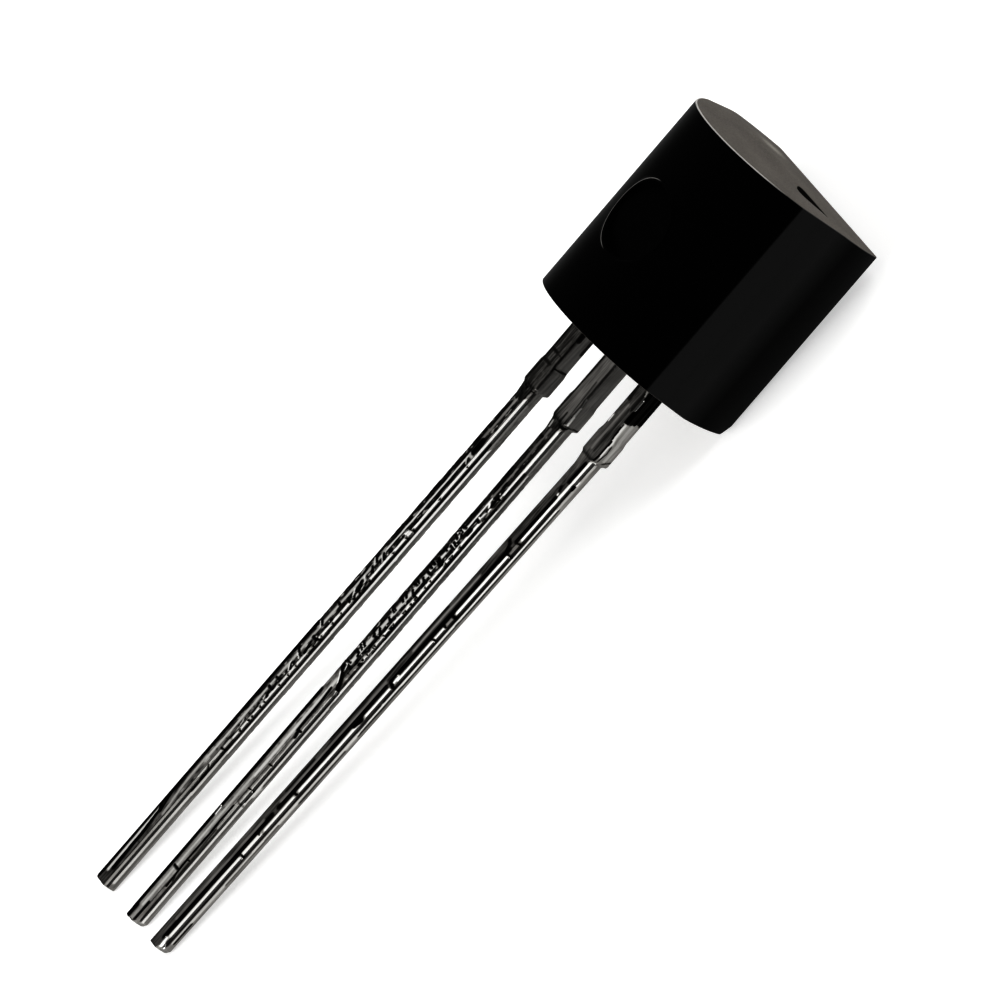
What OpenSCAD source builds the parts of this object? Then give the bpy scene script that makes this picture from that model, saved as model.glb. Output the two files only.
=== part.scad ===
// Small-signal transistor in a TO-92 package, as it lies on a table.
//
// Each piece is drawn upright: X runs along the row of leads, Y points out of the marking
// flat, Z runs up the leads and the body, and Z = 0 is the seating face. at_rest() then lays
// the finished piece on its flat and its lead tips, with the floor at Z = 0.

/* [Body] */
// Radius of the round side
round_r = 2.29; // [2.15:0.01:2.6]
// Height of the moulding, from the seating face to the end face
body_h = 4.53; // [4.3:0.01:5.3]
// Distance from the centre of the round side to the marking flat
flat_y = 1.1; // [0.95:0.01:1.4]
// Slope of the end face on the round side of the parting line, in degrees
end_draft = 2.9; // [1:0.1:6]
// Slope of the end face on the flat's side of the parting line, in degrees
end_draft_flat = 1.7; // [0.5:0.1:6]
// Slope of the seating face on the round side of the parting line, in degrees
foot_draft = 0.3; // [0.1:0.1:3]
// Slope of the seating face on the flat's side of the parting line, in degrees
foot_draft_flat = 4.5; // [0.5:0.1:6]
// Direction in which the flatter side wall runs into the round side, in degrees
wall_end_deg = 28.5; // [20:0.5:38]
// How far the bevel at the foot of the flat cuts into the body
bevel_in = 0.15; // [0.06:0.01:0.2]
// How far that bevel reaches up the flat
bevel_up = 0.33; // [0.2:0.01:0.4]

/* [Marks left by the mould] */
// Diameter of the ejector pin's mark on the round side
pin_mark_d = 1.58; // [1:0.01:1.7]
// Depth of the mark's flat floor under the crown of the round side
pin_mark_depth = 0.2; // [0.16:0.01:0.3]
// Height of the mark's centre over the seating face
pin_mark_z = 2.21; // [1.6:0.01:2.8]
// Where the gate scar's long side begins, along the row of leads
gate_start = 0.43; // [0.3:0.01:0.8]
// Length of that side, which lies along the parting line
gate_w = 1.23; // [0.6:0.01:1.3]
// How far along it the scar is widest
gate_apex = 0.54; // [0.3:0.01:0.6]
// Width of the scar there
gate_reach = 0.43; // [0.2:0.01:0.5]
// Depth of the gate scar
gate_depth = 0.2; // [0.1:0.01:0.5]

/* [Lead strips] */
// Distance between neighbouring leads
pitch = 1.27; // [1.2:0.01:1.4]
// Distance from the marking flat to the middle of the leads
lead_to_flat = 1.43; // [1.3:0.01:1.6]
// Thickness of the stamped strip
strip_t = 0.36; // [0.34:0.01:0.45]
// Width of the strip next to the body
strip_w = 0.46; // [0.42:0.01:0.5]
// How far the stubs of the cut dam bar stand out on each side
stub_out = 0.03; // [0.01:0.01:0.06]
// Distance from the seating face to the upper edge of the dam bar
stub_start = 1.15; // [0.8:0.01:1.5]
// Height of the dam bar
stub_h = 0.6; // [0.4:0.01:0.9]
// Height over which a stub rises out of the strip
stub_rise = 0.12; // [0.05:0.01:0.2]

/* [Lead shanks] */
// Width of the coined shank
shank_w = 0.38; // [0.32:0.01:0.42]
// Thickness of the coined shank
shank_t = 0.32; // [0.28:0.01:0.34]
// Size of the flats that coining leaves along the shank's four corners
corner_flat = 0.045; // [0.02:0.005:0.08]
// Length of the taper from the wide strip to the shank, on one side of each lead
taper_h = 0.48; // [0.2:0.01:0.8]
// Length of the base lead, the longest, from the seating face
lead_len = 14.28; // [12.7:0.01:17]
// How much shorter the collector lead was cut
collector_short = 0.04; // [0:0.01:0.3]
// How much shorter the emitter lead was cut
emitter_short = 0.1; // [0:0.01:0.4]
// How far the base lead's tip leans to the base side
base_lean = 0.1; // [0:0.01:0.3]
// How far the collector lead's tip leans to the base side
collector_lean = 0.03; // [0:0.01:0.3]
// How far the emitter lead's tip leans to the base side
emitter_lean = 0.3; // [0:0.01:0.4]
// Size of the bevel that the shear leaves on a tip
snip = 0.1; // [0.04:0.01:0.16]

/* [Inside the moulding] */
// Width of the die paddle
paddle_w = 1.3; // [1:0.01:1.4]
// Height of the die paddle
paddle_h = 1.6; // [1:0.01:1.8]
// Height of the paddle's lower edge over the seating face
paddle_z = 1.7; // [1.2:0.01:2]
// Width of a bonding post's head
post_w = 0.8; // [0.6:0.01:0.85]
// Height of a bonding post's head
post_h = 1.1; // [0.9:0.01:1.3]
// Height of the post head's lower edge over the seating face
post_z = 1.9; // [1.5:0.01:2.1]
// Width and height of the silicon die
die_w = 0.5; // [0.35:0.01:0.7]
// Thickness of the die
die_t = 0.2; // [0.12:0.01:0.3]
// Height of the die's centre over the paddle's lower edge
die_z = 0.85; // [0.6:0.01:1]
// How far the bond layer shows round the die
bond_rim = 0.03; // [0.01:0.005:0.08]
// Thickness of the bond layer
bond_t = 0.02; // [0.01:0.005:0.05]
// Diameter of the bond wires
wire_d = 0.04; // [0.025:0.005:0.05]
// Height of a wire's loop over the die
loop_h = 0.26; // [0.2:0.01:0.5]
// Radius of the bends in a wire
bend_r = 0.12; // [0.06:0.01:0.18]
// Diameter of the ball at the die's end of a wire
ball_d = 0.1; // [0.06:0.01:0.12]
// Height of that ball
ball_h = 0.03; // [0.02:0.005:0.05]
// Distance from the die's centre to each ball, along the leads and across them
ball_off = 0.12; // [0.08:0.01:0.15]
// Distance from the post head's inner edge to where the wire lands
land_in = 0.2; // [0.1:0.01:0.3]

/* [Hidden] */

// Facets round the body, round the marks, round a wire and along its bends
body_fn = 120;
mark_fn = 64;
wire_fn = 24;
bend_fn = 96;
// How far a cutting or bounding shape reaches past the body
past = 0.5;

// The middle plane of the leads, and their face on the flat's side, where the mould parts
lead_y = flat_y - lead_to_flat;
part_y = lead_y + strip_t / 2;

// The flatter side wall is the chord from the parting line to wall_end_deg, drawn out to both
// sides: wall_x(y) is its distance from the middle
part_x = sqrt(round_r * round_r - part_y * part_y);
wall_end_x = round_r * cos(wall_end_deg);
wall_end_y = -round_r * sin(wall_end_deg);
function wall_x(y) = part_x + (y - part_y) * (part_x - wall_end_x) / (part_y - wall_end_y);

// Height of the end face and of the seating face at a distance y from the middle
function end_z(y) = body_h - abs(y - part_y) * tan(y < part_y ? end_draft : end_draft_flat);
function foot_z(y) = abs(y - part_y) * tan(y < part_y ? foot_draft : foot_draft_flat);

// Height at which the stubs end and the coined shank begins
shoulder_z = -(stub_start + stub_h);

// Faces that the die and its wires stand on
die_y = part_y + bond_t;
die_top_y = die_y + die_t;
die_mid_z = paddle_z + die_z;

// At rest the body stands on the flat at the top of its bevel, and the base lead on its tip
tip_h = lead_to_flat - shank_t / 2;
tilt = atan(tip_h / (lead_len + bevel_up));
// The ends of the part along the floor, with the tilt and before it is centred
top_end = max(end_z(flat_y) * cos(tilt), body_h * cos(tilt) - (flat_y - part_y) * sin(tilt));
tip_end = -lead_len * cos(tilt) - (tip_h + shank_t) * sin(tilt);

// Lays an upright piece down: the flat on the floor, then tipped on to the lead tips
module at_rest() {
    translate([-(top_end + tip_end) / 2, 0, -bevel_up * sin(tilt)])
        rotate([0, -tilt, 0])
            translate([0, 0, flat_y])
                rotate([-90, 0, 0])
                    rotate([0, 90, 0])
                        children();
}

// The body's outline from the side, with Y to the right: flat, bevel, drafted foot and end
module side_outline() {
    back = -round_r - past;
    polygon([
        [flat_y, bevel_up],
        [flat_y - bevel_in, foot_z(flat_y - bevel_in)],
        [part_y, 0],
        [back, foot_z(back)],
        [back, end_z(back)],
        [part_y, body_h],
        [flat_y, end_z(flat_y)]
    ]);
}

// The body's outline from the end, apart from its round side: the two flatter walls
module wall_outline() {
    front = flat_y + past;
    back = -round_r - past;
    polygon([
        [wall_x(front), front],
        [-wall_x(front), front],
        [-wall_x(back), back],
        [wall_x(back), back]
    ]);
}

// The scar where the moulding broke off its gate, a V cut in the round side's mould half
// only, with its open side along the parting line
module gate_scar() {
    translate([gate_start, part_y, body_h - gate_depth])
        linear_extrude(height = gate_depth + past)
            polygon([[0, 0], [gate_apex, -gate_reach], [gate_w, 0]]);
}

// The flat-bottomed mark of the ejector pin, on the crown of the round side
module pin_mark() {
    translate([0, pin_mark_depth - round_r, pin_mark_z])
        rotate([90, 0, 0])
            cylinder(d = pin_mark_d, h = pin_mark_depth + past, $fn = mark_fn);
}

// The moulding as a full block, before the pieces inside it take their room
module moulding() {
    difference() {
        intersection() {
            cylinder(r = round_r, h = body_h, $fn = body_fn);
            linear_extrude(height = body_h)
                wall_outline();
            rotate([90, 0, 90])
                linear_extrude(height = 2 * (round_r + past), center = true)
                    side_outline();
        }
        pin_mark();
        gate_scar();
    }
}

// The stamped outline of one lead down to its shoulder, with a head of the given size on top
module strip_outline(head_w, head_z, head_h) {
    half = strip_w / 2;
    stub = half + stub_out;
    polygon([
        [-head_w / 2, head_z + head_h],
        [-head_w / 2, head_z],
        [-half, head_z],
        [-half, -stub_start],
        [-stub, -stub_start - stub_rise],
        [-stub, shoulder_z],
        [stub, shoulder_z],
        [stub, -stub_start - stub_rise],
        [half, -stub_start],
        [half, head_z],
        [head_w / 2, head_z],
        [head_w / 2, head_z + head_h]
    ]);
}

// The taper that leads from the wide strip into the shank, on the base side of the lead
module taper_outline() {
    polygon([
        [0, shoulder_z + stub_rise],
        [-strip_w / 2 - stub_out, shoulder_z + stub_rise],
        [-strip_w / 2 - stub_out, shoulder_z],
        [-shank_w / 2 + corner_flat, shoulder_z - taper_h],
        [0, shoulder_z - taper_h]
    ]);
}

// The coined shank's section: a strip with its four corners flattened
module shank_section() {
    x = shank_w / 2;
    y = shank_t / 2;
    c = corner_flat;
    polygon([
        [x, y - c], [x - c, y], [c - x, y], [-x, y - c],
        [-x, c - y], [c - x, -y], [x - c, -y], [x, c - y]
    ]);
}

// The shank from the shoulder to its tip, which leans to the base side. A snipped tip has
// lost the corner on the emitter side.
module shank(len, lean, snipped) {
    drop = len + shoulder_z;
    long = sqrt(drop * drop + lean * lean);
    translate([0, 0, shoulder_z])
        rotate([0, atan(lean / drop), 0])
            difference() {
                translate([0, 0, -long])
                    linear_extrude(height = long + stub_rise)
                        shank_section();
                if (snipped)
                    translate([shank_w / 2, 0, -long])
                        rotate([0, 45, 0])
                            cube([snip * sqrt(2), shank_t + past, snip * sqrt(2)], center = true);
            }
}

// One whole lead: head, strip, shoulder, taper and shank, stamped from a single strip
module lead(x, len, lean, snipped, head_w, head_z, head_h) {
    translate([x, lead_y, 0]) {
        rotate([90, 0, 0])
            linear_extrude(height = strip_t, center = true)
                strip_outline(head_w, head_z, head_h);
        rotate([90, 0, 0])
            linear_extrude(height = shank_t, center = true)
                taper_outline();
        shank(len, lean, snipped);
    }
}

module base_strip() {
    lead(-pitch, lead_len, base_lean, false, post_w, post_z, post_h);
}

module collector_strip() {
    lead(0, lead_len - collector_short, collector_lean, true, paddle_w, paddle_z, paddle_h);
}

module emitter_strip() {
    lead(pitch, lead_len - emitter_short, emitter_lean, true, post_w, post_z, post_h);
}

// The layer that bonds the die to the paddle
module bond_layer() {
    w = die_w + 2 * bond_rim;
    translate([-w / 2, part_y, die_mid_z - w / 2])
        cube([w, bond_t, w]);
}

// The silicon die on the paddle
module chip() {
    translate([-die_w / 2, die_y, die_mid_z - die_w / 2])
        cube([die_w, die_t, die_w]);
}

// A quarter bend of the wire, in the plane of its loop
module wire_bend(from_deg) {
    rotate([90, 0, 0])
        rotate([0, 0, from_deg])
            rotate_extrude(angle = 90, $fn = bend_fn)
                translate([bend_r, 0])
                    circle(d = wire_d, $fn = wire_fn);
}

// One bond wire, from its ball on the die over to the post, drawn with Z out of the paddle
module wire_loop(span) {
    rise = loop_h - bend_r;
    drop = die_top_y - part_y;
    cylinder(d = ball_d, h = ball_h, $fn = wire_fn);
    cylinder(d = wire_d, h = rise, $fn = wire_fn);
    translate([bend_r, 0, rise])
        wire_bend(90);
    translate([bend_r, 0, loop_h])
        rotate([0, 90, 0])
            cylinder(d = wire_d, h = span - 2 * bend_r, $fn = wire_fn);
    translate([span - bend_r, 0, rise])
        wire_bend(0);
    translate([span, 0, -drop])
        cylinder(d = wire_d, h = rise + drop, $fn = wire_fn);
}

// A bond wire in place: side is 1 towards the emitter and -1 towards the base
module bond_wire(side) {
    span = pitch - post_w / 2 + land_in - ball_off;
    translate([side * ball_off, die_top_y, die_mid_z + side * ball_off])
        rotate([-90, 0, 0])
            mirror([side < 0 ? 1 : 0, 0, 0])
                wire_loop(span);
}

module body() {
    color("#17171a")
        at_rest()
            difference() {
                moulding();
                base_strip();
                collector_strip();
                emitter_strip();
                bond_layer();
                chip();
                bond_wire(-1);
                bond_wire(1);
            }
}

module base_lead() {
    color("#8c8883")
        at_rest()
            base_strip();
}

module collector_lead() {
    color("#8c8883")
        at_rest()
            collector_strip();
}

module emitter_lead() {
    color("#8c8883")
        at_rest()
            emitter_strip();
}

module die() {
    color("#4a4e57")
        at_rest()
            chip();
}

module die_attach() {
    color("#b9bbbd")
        at_rest()
            bond_layer();
}

module base_bond_wire() {
    color("#d9ac4a")
        at_rest()
            bond_wire(-1);
}

module emitter_bond_wire() {
    color("#d9ac4a")
        at_rest()
            bond_wire(1);
}

body();
base_lead();
collector_lead();
emitter_lead();
die();
die_attach();
base_bond_wire();
emitter_bond_wire();
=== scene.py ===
"""A small-signal transistor in a TO-92 package, lying on its flat and its lead tips.

Sizes are in millimetres, in the part's upright frame: X runs along the row of leads, Y
points out of the marking flat, Z runs up the leads and the body from the seating face.
LAY turns them into metres in the shared frame, where the part lies on the floor.
"""

import random
from collections import namedtuple
from math import atan, atan2, asin, cos, degrees, dist, pi, radians, sin, sqrt, tan

import bmesh
import bpy
from mathutils import Matrix, Vector
from mathutils.geometry import delaunay_2d_cdt


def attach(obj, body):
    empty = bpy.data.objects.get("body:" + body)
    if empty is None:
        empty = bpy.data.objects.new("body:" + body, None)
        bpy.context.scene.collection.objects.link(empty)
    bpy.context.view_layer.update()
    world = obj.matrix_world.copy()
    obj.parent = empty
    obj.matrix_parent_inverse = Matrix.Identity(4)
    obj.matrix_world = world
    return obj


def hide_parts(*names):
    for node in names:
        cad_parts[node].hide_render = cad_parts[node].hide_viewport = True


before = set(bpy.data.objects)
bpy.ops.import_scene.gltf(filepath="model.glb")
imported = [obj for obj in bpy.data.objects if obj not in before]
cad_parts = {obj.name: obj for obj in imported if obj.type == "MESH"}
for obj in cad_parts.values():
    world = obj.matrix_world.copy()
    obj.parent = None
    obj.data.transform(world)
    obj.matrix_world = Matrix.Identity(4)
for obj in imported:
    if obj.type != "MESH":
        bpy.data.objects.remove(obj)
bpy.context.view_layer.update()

MM = 0.001

# ------------------------ sizes of the part

# Moulding
ROUND_R = 2.29
BODY_H = 4.53
FLAT_Y = 1.1
END_DRAFT, END_DRAFT_FLAT = 2.9, 1.7
FOOT_DRAFT, FOOT_DRAFT_FLAT = 0.3, 4.5
WALL_END_DEG = 28.5
# how far the wall's edges blend in, at the parting line and at the round side
PART_SOFT_DEG, WALL_SOFT_DEG = 6, 1
BEVEL_IN, BEVEL_UP = 0.15, 0.33
CORNER_R = 0.04        # rounding along the flat's two edges
RIM_R = 0.025          # rounding round the end face and the foot
SUPPORT = 0.012        # width of the narrow faces that keep a flat face flat up to its rim
PART_SOFT = 0.15       # how far the two slopes of the end face blend at the parting line
BEVEL_SOFT = 0.015     # how far the bevel's edge is softened
FOLD_END = RIM_R + 6 * SUPPORT   # how far short of the round side a fold line stops

# How finely the moulding is divided: half its outline, in three stretches, and its side
FLAT_POINTS, CORNER_POINTS, ROUND_POINTS = 26, 7, 118
SIDE_LEVELS = 76
RIM_STEPS = ((90, 0.5), (70, 1), (50, 1), (30, 1), (12, 0.5))   # angle, share of the rim's rubbing and its painted highlight

# Marks left by the mould
PIN_R, PIN_DEPTH, PIN_Z = 0.79, 0.2, 2.21
PIN_RING, PIN_RING_H = 0.07, 0.014      # width and height of the raised ring round the mark
# the ring's steps, and its rubbing on the base side, lightened as a painted highlight
PIN_RING_STEPS, PIN_RING_RUB_HIGHLIGHT = 12, 0.45
PIN_LIP = 0.012        # how deep the mark's edge lies in the round side
PIN_FLOOR_R = 0.006    # rounding where the mark's wall meets its floor
PIN_PATCH = 1.02       # half the side of the square patch that the mark is set in
GATE_START, GATE_W, GATE_APEX, GATE_REACH, GATE_DEPTH = 0.43, 1.23, 0.54, 0.43, 0.2
GATE_RIM = 0.015       # how far the scar's edge is rounded
GATE_CORNERS = (0.34, 0.04, 0.3)   # rounding of the scar's blunt end, its tail and its point
GATE_CLEAR = 0.1       # how far the end face's fold lines stay away from the scar

# The rubbing on the end's rim, lightened as a painted highlight: where it stops, towards
# the emitter side, over how long a stretch it fades, and what is left of it
RUB_HIGHLIGHT_END, RUB_HIGHLIGHT_FADE, RUB_HIGHLIGHT_LEAST = 1.9, 0.5, 0.15

# Leads
PITCH = 1.27
LEAD_TO_FLAT = 1.43
STRIP_T, STRIP_W = 0.36, 0.46
STUB_OUT, STUB_START, STUB_H, STUB_RISE = 0.03, 1.15, 0.6, 0.12
SHANK_W, SHANK_T = 0.38, 0.32
CORNER_FLAT = 0.045
TAPER_H = 0.48
LEAD_LEN = 14.28
SNIP = 0.1             # how far a snipped tip is cut back on one side
TIP_EDGE = 0.012       # how far the edges of a tip are broken
PADDLE = (1.3, 1.7, 1.6)     # width, height over the seating face, own height
POST = (0.8, 1.9, 1.1)

# The leads' mesh: points round a section, and distance between sections, outside and inside
AROUND = 128
STEP_LONG, STEP_HIDDEN = 0.024, 0.2

# Where the strip's upper edges start to roll over, and their shape, in shares of its half
# sizes, and how far its lower edges are broken
ROLLED_AT = 0.84
ROLLED = [(0.952, 0.944), (1, 0.79)]
LOWER_EDGE = 0.03

# How a drawn line wanders: a spot every so far, and how far it strays across the face
LINE_STEP, LINE_WANDER = 0.9, 0.03
# A crack in the plating: its width, the stretches of the faces that one crosses, and how
# many of them have a lifted lip
CRACK_WIDE = 0.04
CRACK_COLUMNS = ((0.15, 0.55), (0.5, 0.95), (0.85, 1.45), (0.85, 1.45))
LIPPED, LIP_TONE = 0.35, 0.8

# The depths and heights of the wear in the leads' surface, and how fine the scratches are
LEAD_SETTINGS = {"Scratch Depth": 0.003, "Scratches Across": 18.0, "Wave Depth": 0.006,
                 "Crack Depth": 0.006, "Ridge Height": 0.008, "Cut Depth": 0.013,
                 "Ragged Edge": 0.014}

LEAD_Y = FLAT_Y - LEAD_TO_FLAT
PART_Y = LEAD_Y + STRIP_T / 2
SHOULDER_Z = -(STUB_START + STUB_H)


def slope(deg):
    return tan(radians(deg))


def end_z(y):
    """Height of the end face at a distance y from the middle."""
    return BODY_H - abs(y - PART_Y) * slope(END_DRAFT if y < PART_Y else END_DRAFT_FLAT)


def soft_end_z(y):
    """The same, with its two slopes blended at the parting line."""
    d = abs(y - PART_Y)
    if d > PART_SOFT:
        return end_z(y)
    level = (d * d / PART_SOFT + PART_SOFT) / 2
    return BODY_H - level * slope(END_DRAFT if y < PART_Y else END_DRAFT_FLAT)


def foot_z(y):
    """Height of the seating face there, with the bevel at the foot of the flat."""
    drafted = abs(y - PART_Y) * slope(FOOT_DRAFT if y < PART_Y else FOOT_DRAFT_FLAT)
    low = (FLAT_Y - BEVEL_IN - PART_Y) * slope(FOOT_DRAFT_FLAT)
    bevel = BEVEL_UP + (y - FLAT_Y) * (BEVEL_UP - low) / BEVEL_IN
    return max(drafted, bevel)


TIP_H = LEAD_TO_FLAT - SHANK_T / 2
TILT = atan(TIP_H / (LEAD_LEN + BEVEL_UP))
TOP_END = max(end_z(FLAT_Y) * cos(TILT),
              BODY_H * cos(TILT) - (FLAT_Y - PART_Y) * sin(TILT))
TIP_END = -LEAD_LEN * cos(TILT) - (TIP_H + SHANK_T) * sin(TILT)

# The upright frame, laid down: metres in the shared frame
LAY = (Matrix.Scale(MM, 4)
       @ Matrix.Translation((-(TOP_END + TIP_END) / 2, 0, -BEVEL_UP * sin(TILT)))
       @ Matrix.Rotation(-TILT, 4, "Y")
       @ Matrix.Translation((0, 0, FLAT_Y))
       @ Matrix(((0, 0, 1, 0), (-1, 0, 0, 0), (0, -1, 0, 0), (0, 0, 0, 1))))

SCUFF_AT = tuple(LAY @ Vector((-1.43, 0.42, end_z(0.42))) / MM)   # a scuff on the end face


# ------------------------ outlines and meshes

def progress(value, low, high):
    """How far a value has come from low to high, from 0 to 1."""
    return min(1, max(0, (value - low) / (high - low)))


def between(p, q, parts, of=1):
    """The point so many parts of the way from p to q, out of that many."""
    return tuple(a + (b - a) * parts / of for a, b in zip(p, q))


def line(p, q, count):
    """Points along a line, without its last one."""
    return [between(p, q, i, count) for i in range(count)]


def polar(r, deg, cx=0, cy=0):
    """The point at that distance and angle from a centre."""
    return (cx + r * cos(radians(deg)), cy + r * sin(radians(deg)))


def outward(loop):
    """The outward unit normal at each point of a closed loop that runs clockwise."""
    normals = []
    for i in range(len(loop)):
        along = (Vector(loop[(i + 1) % len(loop)]) - Vector(loop[i - 1])).normalized()
        normals.append((-along.y, along.x))
    return normals


def sides_of(loop):
    """Each side of a closed loop, as its two ends."""
    return list(zip(loop, loop[1:] + loop[:1]))


def inside(x, y, loop):
    """Whether a point lies inside a closed loop."""
    hit = False
    for (x0, y0), (x1, y1) in sides_of(loop):
        if (y0 > y) != (y1 > y) and x < (x1 - x0) * (y - y0) / (y1 - y0) + x0:
            hit = not hit
    return hit


def join_rings(bm, rings):
    """Quads from each closed ring to the next. All have the same number of points."""
    for low, high in zip(rings, rings[1:]):
        for (a, b), (d, c) in zip(sides_of(low), sides_of(high)):
            bm.faces.new((a, b, c, d))


def cap(bm, rim, height, holes=(), folds=()):
    """A drafted face inside a closed ring of points, with holes and fold lines in it.

    height(y) gives its level. Each hole is a ring of points already in the mesh."""
    verts, edges, loops = [], [], []
    for ring in (rim, *holes):
        edges += sides_of(list(range(len(verts), len(verts) + len(ring))))
        verts += ring
        loops.append([(v.co.x, v.co.y) for v in ring])
    coords = [Vector(p) for loop in loops for p in loop]
    for fold in folds:
        edges.append((len(coords), len(coords) + 1))
        coords += [Vector(p) for p in fold]
    out, _, faces, origins, _, _ = delaunay_2d_cdt(coords, edges, [], 0, 1e-6)
    made = []
    for co, origin in zip(out, origins):
        known = [o for o in origin if o < len(verts)]
        made.append(verts[known[0]] if known else bm.verts.new((co.x, co.y, height(co.y))))
    for face in faces:
        mid = sum((out[i] for i in face), Vector((0, 0))) / 3
        if inside(mid.x, mid.y, loops[0]) and not any(inside(mid.x, mid.y, h) for h in loops[1:]):
            bm.faces.new([made[i] for i in face])


def placed(name, mesh):
    """An object of a mesh, in the scene's collection."""
    obj = bpy.data.objects.new(name, mesh)
    bpy.context.scene.collection.objects.link(obj)
    return obj


def piece(name, mesh):
    """A piece's object at the origin, from a mesh whose sizes are upright millimetres."""
    mesh.transform(LAY)
    return placed(name, mesh)


# ------------------------ nodes

class Value:
    """A value that a tree's nodes work out. Arithmetic on it adds more of them."""

    def __init__(self, tree, socket):
        self.tree, self.socket = tree, socket

    def __add__(self, other):
        return calc("ADD", self, other)

    def __sub__(self, other):
        return calc("SUBTRACT", self, other)

    def __rsub__(self, other):
        return calc("SUBTRACT", other, self)

    def __mul__(self, other):
        return calc("MULTIPLY", self, other)

    def __truediv__(self, other):
        return calc("DIVIDE", self, other)


def node(tree, kind, links=None, **settings):
    """A new node. Settings are its own properties. Links go to its sockets."""
    made = tree.nodes.new(kind)
    for name, value in settings.items():
        setattr(made, name, value)
    return plug(made, links or {})


def plug(a_node, links):
    """Sets sockets of a node, by name or number, to plain values or to worked-out ones."""
    for key, value in links.items():
        if isinstance(value, Value):
            value.tree.links.new(value.socket, a_node.inputs[key])
        else:
            a_node.inputs[key].default_value = value
    return a_node


def add(tree, kind, links=None, out=0, **settings):
    """One output of a new node, by name or number."""
    return Value(tree, node(tree, kind, links, **settings).outputs[out])


def calc(operation, a, b=0.0):
    tree = (a if isinstance(a, Value) else b).tree
    return add(tree, "ShaderNodeMath", {0: a, 1: b}, operation=operation)


def vector(operation, a, b=(0, 0, 0), out=0):
    """A vector operation. To scale takes a number as b."""
    links = {0: a, "Scale" if operation == "SCALE" else 1: b}
    return add(a.tree, "ShaderNodeVectorMath", links, out, operation=operation)


def ranged(value, low, high, to_low=0.0, to_high=1.0):
    """A smooth step of a value between low and high."""
    ends = {"From Min": low, "From Max": high, "To Min": to_low, "To Max": to_high}
    return add(value.tree, "ShaderNodeMapRange", {"Value": value, **ends},
               interpolation_type="SMOOTHSTEP")


def stretched(spot, x, y, z, scale, detail=2.0):
    """Noise, stretched by its own scale along each axis."""
    return add(spot.tree, "ShaderNodeTexNoise",
               {"Vector": vector("MULTIPLY", spot, (x, y, z)), "Scale": scale, "Detail": detail})


def linear(hex_colour):
    """An sRGB hex colour as linear RGBA."""
    out = []
    for i in (1, 3, 5):
        c = int(hex_colour[i:i + 2], 16) / 255
        out.append(c / 12.92 if c <= 0.04045 else ((c + 0.055) / 1.055) ** 2.4)
    return (*out, 1.0)


def ramp(value, *stops):
    """Hex colours at places from 0 to 1."""
    made = node(value.tree, "ShaderNodeValToRGB", {0: value})
    marks = made.color_ramp.elements
    while len(marks) < len(stops):
        marks.new(0.5)
    for mark, (place, colour) in zip(marks, stops):
        mark.position = place
        mark.color = linear(colour)
    return Value(value.tree, made.outputs[0])


def mixed(factor, a, b):
    """Colour b over colour a. Each is a hex colour or a worked-out one."""
    a, b = (linear(c) if isinstance(c, str) else c for c in (a, b))
    return add(factor.tree, "ShaderNodeMix", {0: factor, 6: a, 7: b}, 2, data_type="RGBA")


def material(name):
    """A new material and its node tree."""
    mat = bpy.data.materials.new(name)
    mat.use_nodes = True
    return mat, mat.node_tree


def shaded(mat, links):
    """The material, with those sockets of its shader set."""
    plug(mat.node_tree.nodes["Principled BSDF"], links)
    return mat


def attributes(tree, *names):
    return (add(tree, "ShaderNodeAttribute", out="Fac", attribute_name=name) for name in names)


def in_mm(tree):
    """The place on the part in the shared frame, in millimetres."""
    return vector("SCALE", add(tree, "ShaderNodeTexCoord", out="Object"), 1 / MM)


# ------------------------ the moulding

def body_outline():
    """The D section, clockwise from the middle of the flat."""
    fx = sqrt((ROUND_R - CORNER_R) ** 2 - (FLAT_Y - CORNER_R) ** 2)
    corner_deg = degrees(atan2(FLAT_Y - CORNER_R, fx))
    part_deg = degrees(asin(PART_Y / ROUND_R))
    chord = cos(radians((part_deg + WALL_END_DEG) / 2))

    def radius(deg):
        """Distance to the round side, or to the flatter wall's chord, in a direction."""
        if not -WALL_END_DEG < deg < part_deg:
            return ROUND_R
        off = deg - (part_deg - WALL_END_DEG) / 2
        return ROUND_R * chord / cos(radians(off))

    def soft(deg):
        """The same, averaged over a few degrees, so that the wall's edges blend in."""
        reach = PART_SOFT_DEG if deg > (part_deg - WALL_END_DEG) / 2 else WALL_SOFT_DEG
        turns = [deg + reach * i / 8 for i in range(-8, 9)]
        return sum(radius(d) for d in turns) / len(turns)

    turn, span = (corner_deg - 90) / CORNER_POINTS, corner_deg + 90
    degs = [corner_deg - span * i / ROUND_POINTS for i in range(ROUND_POINTS + 1)]
    half = (line((0, FLAT_Y), (fx, FLAT_Y), FLAT_POINTS)
            + [polar(CORNER_R, 90 + turn * i, fx, FLAT_Y - CORNER_R) for i in range(CORNER_POINTS)]
            + [polar(soft(d), d) for d in degs])
    return half + [(-x, y) for x, y in reversed(half[1:-1])]


def scar_outline():
    """The gate scar's V, clockwise from its blunt end, with rounded corners."""
    corners = [Vector((GATE_START, PART_Y)), Vector((GATE_START + GATE_W, PART_Y)),
               Vector((GATE_START + GATE_APEX, PART_Y - GATE_REACH))]
    loop = []
    for i, here in enumerate(corners):
        before, after = corners[i - 1], corners[(i + 1) % 3]
        a = here + (before - here).normalized() * GATE_CORNERS[i]
        b = here + (after - here).normalized() * GATE_CORNERS[i]
        for k in range(7):
            t = k / 6
            loop.append(tuple(a * (1 - t) ** 2 + here * 2 * t * (1 - t) + b * t * t))
        c = after + (here - after).normalized() * GATE_CORNERS[(i + 1) % 3]
        loop += line(b, c, 16)[1:]
    return loop


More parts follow.
